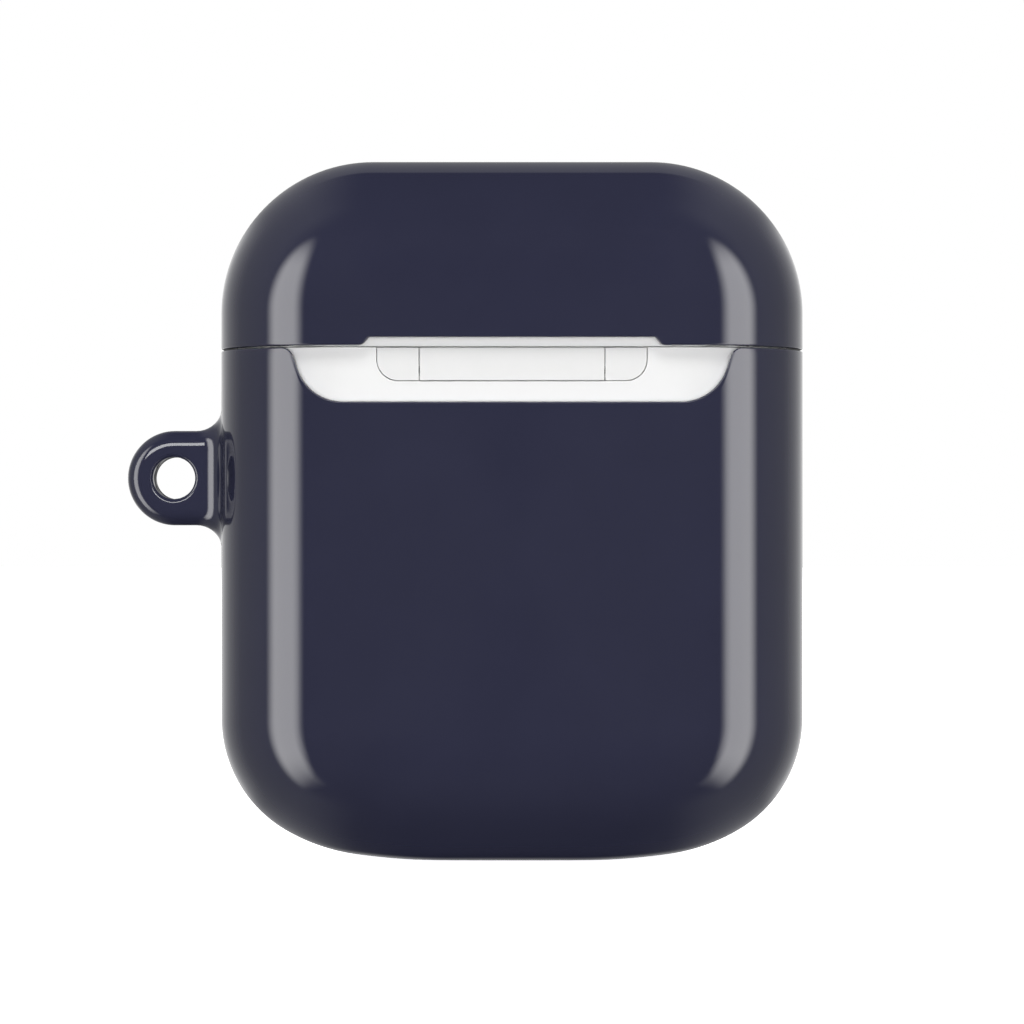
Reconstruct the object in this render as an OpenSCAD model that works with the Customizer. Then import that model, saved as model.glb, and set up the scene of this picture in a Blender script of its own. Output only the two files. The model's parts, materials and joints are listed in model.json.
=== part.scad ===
// Stem-type wireless earbuds charging case in a two-part hard cover.
// X runs across the case, +Y points to the hinge side, +Z points up.
// The origin is the middle of the charging way on the flat that the case stands on.

/* [Cover] */
// Width across the two sides, without the keyring lug
body_w = 47; // [46.6:0.1:47.4]
// Depth from the front face to the back face
body_d = 24; // [23.8:0.1:24.2]
// Height of the case as it stands
body_h = 56.4; // [56:0.1:57]
// Radius that rounds the edge between the side and the flat front and back
edge_r = 10.5; // [10.3:0.1:10.5]
// Radius of the two top corners, seen from the back
top_r = 12.3; // [12:0.1:12.6]
// Wall of both cover halves
cover_wall = 1.25; // [1.2:0.01:1.25]
// Gap between the cover and the white shells
cover_gap = 0.1; // [0.1:0.01:0.14]
// Height cut off the rounded bottom to make the flat it stands on
foot_cut = 0.1; // [0.05:0.01:0.15]

/* [Bottom corners] */
// Radius of the middle stretch
blend_r = 15.5; // [15:0.1:16]
// Radius next to the flat bottom
belly_r = 55; // [50:1:60]
// Angle of the bottom stretch, in degrees
belly_angle = 8; // [7:0.5:9]
// Angle of the bottom and middle stretches together, in degrees
blend_angle = 30; // [28:0.5:32]

/* [Seam] */
// Height of the top edge of both lower halves
seam_z = 41.05; // [41:0.01:41.1]
// Gap between the two cover halves
cover_seam = 0.15; // [0.12:0.01:0.2]
// Gap between the two white shells
shell_seam = 0.1; // [0.08:0.01:0.12]

/* [Keyring lug] */
// Outer radius of the lug's round end
lug_r = 3.83; // [3.7:0.01:3.9]
// Radius of the keyring hole
lug_hole_r = 1.7; // [1.5:0.1:1.8]
// Thickness of the lug
lug_t = 4; // [3.6:0.1:4]
// Distance from the side of the case to the middle of the hole
lug_reach = 3.85; // [3.8:0.01:3.9]
// Height of the middle of the hole
lug_z = 30.85; // [30:0.05:32]
// Radius of the fillets where the lug meets the side
lug_fillet = 2.1; // [1.8:0.1:2.4]
// Radius that rounds the lug's outer edges
lug_edge = 1.33; // [1.2:0.01:1.4]

/* [Hinge cut-out] */
// Height of the cut-out's lower edge
cut_z = 36.7; // [36.6:0.05:36.8]
// Radius of its lower corners
cut_r = 3.8; // [3.6:0.1:4]
// Distance of its lower corner centres from the middle
cut_cx = 13.25; // [13:0.05:13.4]
// Lean of its sides, in degrees
cut_lean = 20; // [18:1:22]
// Rounding of its upper corners
cut_top_r = 1; // [0.8:0.1:1.2]
// Height of the notch in the lid cover
notch_h = 0.63; // [0.5:0.01:0.7]
// Half width of the notch in the lid cover
notch_w = 11.1; // [11:0.1:11.3]

/* [Hinge] */
// Distance of the hinge axis behind the middle plane
hinge_y = 10; // [9.95:0.01:10.05]
// Height of the hinge axis
hinge_z = 39.2; // [39.15:0.01:39.25]
// Radius of the hinge pin
pin_r = 0.4; // [0.35:0.01:0.4]
// Half width of the whole hinge
hinge_w = 10.62; // [10.5:0.01:10.8]
// Half width of the moving middle knuckle
knuckle_w = 7.27; // [7.2:0.01:7.3]
// Height of the visible hinge plates
plate_h = 2.59; // [2.55:0.01:2.6]

/* [Earbud wells] */
// Distance of each well from the middle
well_x = 10; // [9.9:0.1:10.1]
// Radius of the well that holds an earbud's stem
stem_r = 3.4; // [3.3:0.1:3.5]
// Radius of the recess for an earbud's head
head_r = 7.4; // [7.2:0.1:7.4]
// Height of the bottom of the wells
well_z = 12; // [12:0.1:12.2]

/* [Wall] */
// Wall of the white shells
shell_wall = 1.2; // [1.1:0.05:1.2]

/* [Hidden] */
$fn = 96;

navy = [0.19, 0.19, 0.27];
shell_white = [0.96, 0.96, 0.96];
liner_white = [0.93, 0.93, 0.93];
plate_white = [0.94, 0.94, 0.94];
steel = [0.7, 0.7, 0.72];
board_green = [0.1, 0.32, 0.2];
chip_black = [0.08, 0.08, 0.09];
copper = [0.72, 0.45, 0.2];
gold = [0.83, 0.69, 0.36];

// eps joins solids that would only touch, past is how far a cutter runs beyond what it cuts
eps = 0.01;
past = 1;
big = 200;
straight = body_d / 2 - edge_r;

// insets of the nested rounded forms
shell_out = cover_wall + cover_gap;
shell_in = shell_out + shell_wall;

// centres of the silhouette's arcs, right half; the arc next to the side has the edge radius
top_cx = body_w / 2 - top_r;
top_cz = body_h - top_r;
corner_cx = body_w / 2 - edge_r;
blend_cx = corner_cx - (blend_r - edge_r) * sin(blend_angle);
belly_cx = blend_cx - (belly_r - blend_r) * sin(belly_angle);
belly_cz = belly_r - foot_cut;
blend_cz = belly_cz - (belly_r - blend_r) * cos(belly_angle);
corner_cz = blend_cz - (blend_r - edge_r) * cos(blend_angle);

// back faces of the white shell and the cover
shell_back = body_d / 2 - shell_out;
shell_inner_back = body_d / 2 - shell_in;

// lower edges of the upper halves
lid_cover_z = seam_z + cover_seam;
lid_shell_z = seam_z + shell_seam;

// notch in the lid cover: how far its sides slope outwards
notch_slope = 0.5;

// adhesive strips in the lid cover
strip_w = 20;
strip_h = 2;
strip_t = 0.06;
strip_z = 43.5;

// base liner: deck, wells and the stepped seat at the bottom of each well
deck_top = 39.8;
deck_t = 1.5;
deck_z = deck_top - deck_t;
well_y = -0.6;
well_wall = 0.9;
cone_z = 33.8;
well_cap = 1;
seat_w = 0.4;
seat_h = 0.6;

// lid liner
lid_deck_z = 41.3;
lid_deck_t = 1.2;
dome_cz = 43;
dome_wall = 0.8;

// charging receptacle and the way through the cover
port_w = 8.94;
port_t = 3.26;
port_wall = 0.3;
port_z = 1.4;
port_gap = 0.05;
board_z = 8.4;
board_t = 0.8;
board_top = board_z + board_t;
way_w = 11.2;
way_t = 5.2;
tongue_w = 6.7;
tongue_t = 0.7;
tongue_h = 5.2;
port_back_t = 1.2;

// hinge clearances: the swept radii of the parts that turn past each other
lid_relief_r = 2.02;
cover_relief_r = 2.15;
knuckle_pocket_r = 1.05;
pin_fit = 0.01;
pin_clearance = 0.04;
pin_short = 0.9;
pin_pocket = 0.85;
plate_gap = 0.08;
plate_r = 1.65;
plate_top_gap = 0.02;

// hinge leaves, bracket and the room that the liners leave for them
leaf_t = 1;
leaf_y = 8.4;
leaf_gap = 0.05;
lid_leaf_top = 47;
lid_leaf_z = seam_z - 0.1;
lid_leaf_gap = 0.3;
arm_z = 36;
arm_lap = 1.5;
bracket_y = 7.3;
bracket_t = 0.7;
bracket_z = 30.5;
bracket_top = 38.2;
room_gap = 0.4;
room_y = 7.8;

// screws: shank, pilot hole, clearance hole and cross recess
shank_r = 0.5;
pilot_r = 0.55;
clear_r = 0.7;
head_t = 0.6;
cross_w = 0.24;
cross_l = 1.4;
cross_depth = 0.3;
hinge_screw_x = 9;
hinge_screw_z = 32;
hinge_screw_r = 1.2;
hinge_screw_y = 4.8;
boss_r = 1.5;
boss_y = 2;
board_screw_r = 1.1;
board_screw_z = 5;
screw_room = 0.3;

// posts of the base shell
post_x = 6.3;
post_y = 3.2;
post_r = 1.4;
post_z = 2;
prop_x = 3.8;
prop_r = 0.6;

// leaf spring behind the hinge
spring_w = 9;
spring_tip_w = 6;
spring_t = 0.15;
spring_z = 33.5;
spring_neck_z = 40.2;
spring_top = 40.8;

// magnets, two in each half
magnet_x = 3;
magnet_w = 3.2;
magnet_y = -9.1;
magnet_t = 1.5;
magnet_z = 34.2;
lid_magnet_h = 4;

// battery and the foam pad in front of it
battery_w = 10.4;
battery_h = 20;
battery_r = 0.8;
battery_z = 12;
battery_y0 = -8;
battery_y1 = 5;
pad_w = 8;
pad_h = 16;
pad_z = 14;

// main board, and the corner and size of each of its chips
board_w = 28;
board_y0 = -5;
board_y1 = 5.6;
chips = [[[-3.2, -3.6], [5.6, 5, 0.9]], [[3.4, -4.2], [2.4, 2.4, 0.7]], [[-2.5, 2.6], [1.8, 1.2, 0.6]]];

// spring contacts below each well
contact_x = 1.1;
contact_r = 0.45;
contact_gap = 0.05;
contact_top = well_z + 0.5;
contact_h = 2.6;
contact_tip = 0.2;
contact_chamfer = 0.15;
contact_block = [4.8, 2.6];
contact_floor = 0.2;

// setup button, on the back of the case, its switch and the board behind it
button_z = 17;
button_r = 2.3;
button_gap = 0.1;
button_flange_r = 3;
button_flange_t = 0.5;
button_flange_gap = 0.1;
button_stem_r = 1;
button_stem_y = 8.2;
switch_board_w = 8.4;
switch_board_h = 6;
switch_board_t = 0.6;
switch_w = 4;
switch_y = 7.4;
switch_tip_r = 0.8;
switch_tip = 0.4;

// flexible cable up to the light and the lid sensor
flex_y = 5.25;
flex_t = 0.2;
flex_w = 3;
flex_top = 36;
flex_end = 0.8;
light_y = 2;
light_r = 0.9;
light_gap = 0.02;
led_w = 1.6;
led_h = 0.8;
sensor_w = 1.6;
sensor_t = 0.65;
sensor_z = 33.5;
sensor_h = 1.5;

// point of an arc in the XZ plane; the angle is measured from straight down
function arc_point(cx, cz, r, a) = [cx + r * sin(a), cz - r * cos(a)];

// piece of a disc just inside one of the core's arcs
module sector(cx, cz, r, a0, a1) {
    intersection() {
        translate([cx, cz]) circle(r);
        polygon([arc_point(cx, cz, r - past, a0), arc_point(cx, cz, r + past, a0),
            arc_point(cx, cz, r + past, a1), arc_point(cx, cz, r - past, a1)]);
    }
}

// outline of the flat front and back faces: the silhouette moved inwards by the edge radius
module core_outline() {
    blend_core = blend_r - edge_r;
    belly_core = belly_r - edge_r;
    right = [arc_point(belly_cx, belly_cz, belly_core, 0),
        arc_point(belly_cx, belly_cz, belly_core, belly_angle),
        [corner_cx, corner_cz], [corner_cx, top_cz], [top_cx, top_cz + top_r - edge_r]];
    left = [for (i = [len(right) - 1 : -1 : 0]) [-right[i][0], right[i][1]]];
    union() {
        polygon(concat(right, left));
        for (side = [0, 1]) mirror([side, 0]) {
            translate([top_cx, top_cz]) circle(top_r - edge_r);
            sector(blend_cx, blend_cz, blend_core, belly_angle, blend_angle);
            sector(belly_cx, belly_cz, belly_core, 0, belly_angle);
        }
    }
}

// section of the rounded rim: x runs out to the silhouette, y across the depth
module rim_section(reach, inset) {
    e = edge_r - inset;
    start = max(0, reach - e);
    intersection() {
        translate([start, -body_d]) square([e, 2 * body_d]);
        union() {
            translate([start, -straight]) square([e, 2 * straight]);
            for (side = [-1, 1]) translate([start, side * straight]) circle(e);
        }
    }
}

// the rim section swept round one arc of the silhouette; angles from straight down
module rim_arc(cx, cz, r, inset, a0, a1) {
    translate([cx, 0, cz]) rotate([90, 0, 0])
        rotate_extrude(angle = a1 - a0, start = a0 - 90) rim_section(r - inset, inset);
}

// the rounded form of the case, moved inwards by inset
module pillow(inset) {
    half = body_d / 2 - inset;
    upright(-half, half) core_outline();
    translate([top_cx, 0, top_cz]) rotate([0, -90, 0])
        linear_extrude(2 * top_cx) rim_section(top_r - inset, inset);
    translate([-belly_cx, 0, belly_cz]) rotate([0, 90, 0])
        linear_extrude(2 * belly_cx) rim_section(belly_r - inset, inset);
    for (side = [0, 1]) mirror([side, 0, 0]) {
        translate([0, 0, corner_cz]) linear_extrude(top_cz - corner_cz)
            rim_section(body_w / 2 - inset, inset);
        rim_arc(top_cx, top_cz, top_r, inset, 90, 180);
        rim_arc(corner_cx, corner_cz, edge_r, inset, blend_angle, 90);
        rim_arc(blend_cx, blend_cz, blend_r, inset, belly_angle, blend_angle);
        rim_arc(belly_cx, belly_cz, belly_r, inset, 0, belly_angle);
    }
}

// everything between two heights
module band(z0, z1) {
    translate([-big / 2, -big / 2, z0]) cube([big, big, z1 - z0]);
}

// slot with round ends, width along X, standing on z = 0
module slot(w, t, h) {
    linear_extrude(h) union() {
        square([w - t, t], center = true);
        for (side = [-1, 1]) translate([side * (w - t) / 2, 0]) circle(t / 2);
    }
}

// box given by its two corners
module block(p, q) {
    translate(p) cube(q - p);
}

// a flat outline in X and Z, given thickness along Y
module upright(y0, y1) {
    translate([0, y1, 0]) rotate([90, 0, 0]) linear_extrude(y1 - y0) children();
}

// rod along X
module rod_x(x0, x1, y, z, r) {
    translate([x0, y, z]) rotate([0, 90, 0]) cylinder(h = x1 - x0, r = r);
}

// rod along Y
module rod_y(x, y0, y1, z, r) {
    translate([x, y1, z]) rotate([90, 0, 0]) cylinder(h = y1 - y0, r = r);
}

// outline of the hinge cut-out, seen from the back
module cut_outline() {
    cz = cut_z + cut_r;
    tx = cut_cx + cut_r * cos(cut_lean);
    tz = cz - cut_r * sin(cut_lean);
    top_x = tx + (seam_z - tz) * tan(cut_lean);
    over_x = top_x + past * tan(cut_lean);
    round_len = cut_top_r / tan((90 + cut_lean) / 2);
    round_cx = top_x + round_len;
    union() {
        polygon([[-cut_cx, cut_z], [cut_cx, cut_z], [tx, tz], [over_x, seam_z + past],
            [-over_x, seam_z + past], [-tx, tz]]);
        for (side = [-1, 1]) {
            translate([side * cut_cx, cz]) circle(cut_r);
            difference() {
                polygon([[side * (top_x - eps), seam_z + eps], [side * round_cx, seam_z + eps],
                    [side * round_cx, seam_z - cut_top_r],
                    [side * (top_x - round_len * sin(cut_lean) - eps), seam_z - round_len * cos(cut_lean)]]);
                translate([side * round_cx, seam_z - cut_top_r]) circle(cut_top_r);
            }
        }
    }
}

// half of the lug's section: x runs out to its edge, y across its thickness
module lug_section(reach) {
    half = lug_t / 2;
    flat = reach - lug_edge;
    union() {
        translate([0, -half]) square([flat, lug_t]);
        translate([0, lug_edge - half]) square([reach, lug_t - 2 * lug_edge]);
        for (side = [-1, 1]) translate([flat, side * (half - lug_edge)]) circle(lug_edge);
    }
}

// keyring lug on the +X side
module lug() {
    cx = body_w / 2 + lug_reach;
    root = body_w / 2 - cover_wall / 2;
    translate([cx, 0, lug_z]) rotate([90, 0, 0]) rotate_extrude() intersection() {
        translate([0, -lug_t]) square([lug_r, 2 * lug_t]);
        lug_section(lug_r);
    }
    translate([root, 0, lug_z]) rotate([0, 90, 0]) linear_extrude(cx - root) union() {
        for (side = [0, 1]) mirror([side, 0]) lug_section(lug_r);
    }
    // root fillets, seen from the back
    reach = body_w / 2 + lug_fillet;
    rise = lug_r + lug_fillet;
    half = lug_t / 2 - lug_edge;
    upright(-half, half) translate([0, lug_z]) difference() {
        translate([root, -rise]) square([reach - root, 2 * rise]);
        for (side = [-1, 1]) translate([reach, side * rise]) circle(lug_fillet);
    }
}

module base_cover() {
    color(navy) difference() {
        union() {
            intersection() {
                pillow(0);
                band(0, seam_z);
            }
            lug();
        }
        pillow(cover_wall);
        upright(body_d / 4, body_d) cut_outline();
        rod_y(body_w / 2 + lug_reach, -lug_t, lug_t, lug_z, lug_hole_r);
        translate([0, 0, -past]) slot(way_w, way_t, cover_wall + 2 * past);
    }
}

module lid_cover() {
    side_x = notch_w + notch_slope;
    notch_z = lid_cover_z + notch_h;
    color(navy) difference() {
        intersection() {
            pillow(0);
            band(lid_cover_z, big);
        }
        pillow(cover_wall);
        // notch over the hinge
        upright(body_d / 4, body_d) polygon([[-notch_w, notch_z], [notch_w, notch_z],
            [side_x, lid_cover_z - eps], [-side_x, lid_cover_z - eps]]);
        // relief that the lower half's edge passes through as the lid turns
        rod_x(-body_w / 2, body_w / 2, hinge_y, hinge_z, cover_relief_r);
    }
}

// two thin adhesive strips inside the lid cover, on its front and back faces
module lid_cover_tape() {
    strip_y = body_d / 2 - cover_wall;
    color("gainsboro") for (side = [0, 1]) mirror([0, side, 0])
        block([-strip_w / 2, strip_y - strip_t, strip_z], [strip_w / 2, strip_y, strip_z + strip_h]);
}

// outline with square upper and round lower corners, from -w to w and z0 to z1
module notch_outline(w, z0, z1, r) {
    translate([-w, z0 + r]) square([2 * w, z1 - z0 - r]);
    translate([-w + r, z0]) square([2 * (w - r), r]);
    for (side = [-1, 1]) translate([side * (w - r), z0 + r]) circle(r);
}

module base_shell() {
    notch_x = hinge_w + plate_gap;
    notch_z = seam_z - plate_h - plate_gap;
    color(shell_white) difference() {
        union() {
            difference() {
                intersection() {
                    pillow(shell_out);
                    band(0, seam_z);
                }
                pillow(shell_in);
            }
            // posts under the board, and props behind the switch
            for (side = [-1, 1]) {
                translate([side * post_x, side * post_y, post_z]) cylinder(h = board_z - post_z, r = post_r);
                rod_y(side * prop_x, flex_y + flex_t + switch_board_t, shell_inner_back + shell_wall / 2,
                    button_z, prop_r);
            }
        }
        // hinge notch in the back wall
        upright(shell_inner_back - past, shell_back + past) union() {
            notch_outline(notch_x, notch_z, seam_z + past, plate_r + plate_gap);
        }
        rod_x(-knuckle_w - plate_gap, knuckle_w + plate_gap, hinge_y, hinge_z, knuckle_pocket_r);
        translate([0, 0, -past]) slot(port_w + 2 * port_gap, port_t + 2 * port_gap, shell_in + 2 * past);
        rod_y(0, shell_inner_back - past, shell_back + past, button_z, button_r + button_gap);
        // pilot holes for the board screws
        for (side = [-1, 1]) translate([side * post_x, side * post_y, board_screw_z - screw_room])
            cylinder(h = board_z, r = pilot_r);
    }
}

module lid_shell() {
    color(shell_white) difference() {
        intersection() {
            pillow(shell_out);
            band(lid_shell_z, big);
        }
        pillow(shell_in);
        rod_x(-body_w / 2, body_w / 2, hinge_y, hinge_z, lid_relief_r);
    }
}

// one earbud well, turned round its axis: grow adds the wall
module well_solid(grow, z0, z1) {
    rise = (head_r - stem_r) / (deck_top - cone_z);
    stem = stem_r + grow;
    mouth_r = stem + rise * (z1 - cone_z);
    rotate_extrude() polygon([[0, z0], [stem, z0], [stem, cone_z], [mouth_r, z1], [0, z1]]);
}

module base_liner() {
    room_x = hinge_w + room_gap;
    color(liner_white) difference() {
        union() {
            intersection() {
                pillow(shell_in);
                band(deck_z, deck_top);
            }
            for (side = [-1, 1]) {
                translate([side * well_x, well_y, 0]) well_solid(well_wall, well_z - well_cap, deck_top);
                // boss for a hinge screw
                rod_y(side * hinge_screw_x, boss_y, bracket_y, hinge_screw_z, boss_r);
            }
        }
        for (side = [-1, 1]) translate([side * well_x, well_y, 0]) {
            well_solid(0, well_z + seat_h, deck_top + past);
            translate([0, 0, well_z]) cylinder(h = seat_h + past, r = stem_r - seat_w);
            for (pin = [-1, 1]) translate([pin * contact_x, 0, well_z - well_cap - past])
                cylinder(h = well_cap + 2 * past, r = contact_r + contact_gap);
        }
        // room for the hinge behind the deck
        block([-room_x, room_y, deck_z - past], [room_x, body_d / 2, deck_top + past]);
        // pilot holes for the hinge screws
        for (side = [-1, 1])
            rod_y(side * hinge_screw_x, hinge_screw_y - screw_room, leaf_y, hinge_screw_z, pilot_r);
        translate([0, light_y, deck_z - past]) cylinder(h = deck_t + 2 * past, r = light_r + light_gap);
    }
}

// upright cylinder from z0 with a round top
module dome(r, z0) {
    rotate_extrude() intersection() {
        translate([0, z0]) square([r, dome_cz + r - z0]);
        union() {
            translate([0, z0]) square([r, dome_cz - z0]);
            translate([0, dome_cz]) circle(r);
        }
    }
}

module lid_liner() {
    room_x = knuckle_w + lid_leaf_gap;
    color(liner_white) difference() {
        union() {
            intersection() {
                pillow(shell_in);
                band(lid_deck_z, lid_deck_z + lid_deck_t);
            }
            for (side = [-1, 1]) translate([side * well_x, well_y, 0]) dome(head_r + dome_wall, lid_deck_z);
        }
        for (side = [-1, 1]) translate([side * well_x, well_y, 0]) dome(head_r, lid_deck_z - past);
        block([-room_x, leaf_y - lid_leaf_gap, lid_deck_z - past],
            [room_x, body_d / 2, lid_deck_z + lid_deck_t + past]);
    }
}

module hinge_base_leaf() {
    outer_z = seam_z - plate_h;
    inner_x = knuckle_w + plate_gap;
    arm_x = hinge_w - plate_r;
    pocket_x = hinge_w - pin_pocket;
    color(plate_white) difference() {
        union() {
            // outer plates, flush with the back of the white shell
            intersection() {
                upright(leaf_y, shell_back) union() {
                    notch_outline(hinge_w, outer_z, seam_z, plate_r);
                }
                union() for (side = [0, 1]) mirror([side, 0, 0])
                    block([inner_x, 0, outer_z - past], [hinge_w + past, body_d, seam_z]);
            }
            // arms down to the bracket
            for (side = [0, 1]) mirror([side, 0, 0]) {
                block([inner_x, bracket_y + bracket_t, arm_z], [arm_x, leaf_y + eps, outer_z + arm_lap]);
                block([inner_x, leaf_y, arm_z], [arm_x, shell_inner_back - leaf_gap, outer_z + eps]);
            }
            block([-hinge_w, bracket_y, bracket_z], [hinge_w, bracket_y + bracket_t, bracket_top]);
        }
        rod_x(-pocket_x, pocket_x, hinge_y, hinge_z, pin_r + pin_fit);
        for (side = [-1, 1])
            rod_y(side * hinge_screw_x, bracket_y - past, leaf_y, hinge_screw_z, clear_r);
    }
}

module hinge_lid_leaf() {
    color(plate_white) difference() {
        union() {
            block([-knuckle_w, leaf_y, seam_z - plate_h], [knuckle_w, shell_back, seam_z - plate_top_gap]);
            block([-knuckle_w, leaf_y, lid_leaf_z], [knuckle_w, leaf_y + leaf_t, lid_leaf_top]);
        }
        rod_x(-knuckle_w - past, knuckle_w + past, hinge_y, hinge_z, pin_r + pin_clearance);
    }
}

module hinge_pin() {
    color(steel) rod_x(pin_short - hinge_w, hinge_w - pin_short, hinge_y, hinge_z, pin_r);
}

// screw with its head up and the underside of the head at z = 0
module cross_screw(length, r) {
    translate([0, 0, -length]) cylinder(h = length, r = shank_r);
    difference() {
        cylinder(h = head_t, r = r);
        for (turn = [0, 90]) rotate([0, 0, turn])
            translate([-cross_l / 2, -cross_w / 2, head_t - cross_depth]) cube([cross_l, cross_w, past]);
    }
}

module hinge_screws() {
    under = bracket_y + bracket_t;
    color(steel) for (side = [-1, 1]) translate([side * hinge_screw_x, under, hinge_screw_z])
        rotate([-90, 0, 0]) cross_screw(under - hinge_screw_y, hinge_screw_r);
}

module detent_spring() {
    y = bracket_y + bracket_t;
    color(steel) union() {
        block([-spring_w / 2, y, spring_z], [spring_w / 2, y + spring_t, spring_neck_z]);
        block([-spring_tip_w / 2, y, spring_neck_z - eps], [spring_tip_w / 2, y + spring_t, spring_top]);
    }
}

// two magnets side by side
module magnet_pair(z0, z1) {
    color(steel) for (side = [-1, 1]) translate([side * magnet_x, 0, 0])
        block([-magnet_w / 2, magnet_y, z0], [magnet_w / 2, magnet_y + magnet_t, z1]);
}

module base_magnets() {
    magnet_pair(magnet_z, deck_z);
}

module lid_magnets() {
    magnet_pair(lid_deck_z + lid_deck_t, lid_deck_z + lid_deck_t + lid_magnet_h);
}

module battery() {
    half = battery_w / 2;
    r = battery_r;
    color("slategray") upright(battery_y0, battery_y1) translate([0, battery_z]) union() {
        translate([-half, r]) square([battery_w, battery_h - 2 * r]);
        translate([r - half, 0]) square([battery_w - 2 * r, battery_h]);
        for (side = [-1, 1]) for (z = [r, battery_h - r]) translate([side * (half - r), z]) circle(r);
    }
}

module battery_pad() {
    color("dimgray") block([-pad_w / 2, -shell_inner_back, pad_z], [pad_w / 2, battery_y0, pad_z + pad_h]);
}

module main_board() {
    color(board_green) difference() {
        block([-board_w / 2, board_y0, board_z], [board_w / 2, board_y1, board_top]);
        for (side = [-1, 1]) translate([side * post_x, side * post_y, board_z - past])
            cylinder(h = board_t + 2 * past, r = clear_r);
    }
}

module board_chips() {
    color(chip_black) for (chip = chips) translate([chip[0][0], chip[0][1], board_top]) cube(chip[1]);
}

module board_screws() {
    color(steel) for (side = [-1, 1]) translate([side * post_x, side * post_y, board_top])
        cross_screw(board_top - board_screw_z, board_screw_r);
}

module charging_port() {
    color(steel) translate([0, 0, port_z]) difference() {
        slot(port_w, port_t, board_z - port_z);
        translate([0, 0, -past]) slot(port_w - 2 * port_wall, port_t - 2 * port_wall, board_z);
    }
}

module port_tongue() {
    color(chip_black) translate([0, 0, board_z - port_back_t]) union() {
        slot(port_w - 2 * port_wall, port_t - 2 * port_wall, port_back_t);
        block([-tongue_w / 2, -tongue_t / 2, -tongue_h], [tongue_w / 2, tongue_t / 2, eps]);
    }
}

module contact_blocks() {
    color(chip_black) for (side = [-1, 1]) translate([side * well_x, well_y, board_top]) difference() {
        block([-contact_block[0] / 2, -contact_block[1] / 2, 0],
            [contact_block[0] / 2, contact_block[1] / 2, well_z - well_cap - board_top]);
        for (pin = [-1, 1]) translate([pin * contact_x, 0, contact_floor])
            cylinder(h = contact_h, r = contact_r + contact_gap);
    }
}

module contact_pins(side) {
    barrel = contact_h - contact_tip;
    foot = contact_top - contact_h;
    color(gold) for (pin = [-1, 1]) translate([side * well_x + pin * contact_x, well_y, foot]) {
        cylinder(h = barrel, r = contact_r);
        translate([0, 0, barrel])
            cylinder(h = contact_tip, r1 = contact_r, r2 = contact_r - contact_chamfer);
    }
}

module left_contact_pins() {
    contact_pins(1);
}

module right_contact_pins() {
    contact_pins(-1);
}

module setup_button() {
    flange_y = shell_inner_back - button_flange_gap;
    color(shell_white) union() {
        rod_y(0, flange_y, shell_back, button_z, button_r);
        rod_y(0, flange_y - button_flange_t, flange_y, button_z, button_flange_r);
        rod_y(0, button_stem_y, flange_y - button_flange_t, button_z, button_stem_r);
    }
}

module button_switch() {
    half = switch_w / 2;
    y = flex_y + flex_t + switch_board_t;
    color(chip_black) union() {
        block([-half, y, button_z - half], [half, switch_y, button_z + half]);
        rod_y(0, switch_y, switch_y + switch_tip, button_z, switch_tip_r);
    }
}

module switch_board() {
    y = flex_y + flex_t;
    color(board_green) block([-switch_board_w / 2, y, button_z - switch_board_h / 2],
        [switch_board_w / 2, y + switch_board_t, button_z + switch_board_h / 2]);
}

module flex_cable() {
    half = flex_w / 2;
    color(copper) union() {
        block([-half, flex_y, board_top], [half, flex_y + flex_t, flex_top]);
        block([-half, flex_end, flex_top - flex_t], [half, flex_y + flex_t, flex_top]);
    }
}

module status_led() {
    color("white") block([-led_w / 2, light_y - led_w / 2, flex_top],
        [led_w / 2, light_y + led_w / 2, flex_top + led_h]);
}

module light_pipe() {
    foot = flex_top + led_h;
    color("azure") translate([0, light_y, foot]) cylinder(h = deck_top - foot, r = light_r);
}

module lid_sensor() {
    color(chip_black) block([-sensor_w / 2, flex_y - sensor_t, sensor_z],
        [sensor_w / 2, flex_y, sensor_z + sensor_h]);
}

base_cover();
lid_cover();
lid_cover_tape();
base_shell();
lid_shell();
base_liner();
lid_liner();
hinge_base_leaf();
hinge_lid_leaf();
hinge_pin();
hinge_screws();
detent_spring();
base_magnets();
lid_magnets();
battery();
battery_pad();
main_board();
board_chips();
board_screws();
charging_port();
port_tongue();
contact_blocks();
left_contact_pins();
right_contact_pins();
setup_button();
button_switch();
switch_board();
flex_cable();
status_led();
light_pipe();
lid_sensor();
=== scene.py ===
"""Looks of a wireless earbuds case in a two-part hard cover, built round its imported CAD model.

The cover halves and the two inner liners are rebuilt as smooth meshes, and every other
piece is the CAD node itself with softened edges. Lengths in this file are millimetres
until a mesh is made. +X is the side with the keyring lug, +Y the back, +Z up.
"""

import json
import math

import bmesh
import bpy
import numpy as np
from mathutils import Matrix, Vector


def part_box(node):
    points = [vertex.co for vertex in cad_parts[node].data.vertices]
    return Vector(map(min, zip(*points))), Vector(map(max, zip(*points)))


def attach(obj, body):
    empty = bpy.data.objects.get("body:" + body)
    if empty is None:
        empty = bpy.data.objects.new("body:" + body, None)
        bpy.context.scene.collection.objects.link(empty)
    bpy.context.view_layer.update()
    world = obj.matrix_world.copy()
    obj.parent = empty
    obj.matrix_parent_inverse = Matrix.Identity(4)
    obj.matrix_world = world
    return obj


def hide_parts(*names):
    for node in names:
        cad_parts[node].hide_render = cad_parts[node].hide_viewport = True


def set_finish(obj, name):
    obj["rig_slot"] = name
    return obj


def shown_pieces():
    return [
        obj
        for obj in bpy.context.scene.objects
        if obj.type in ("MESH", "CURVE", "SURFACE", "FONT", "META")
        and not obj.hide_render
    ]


MM = 0.001

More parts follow.
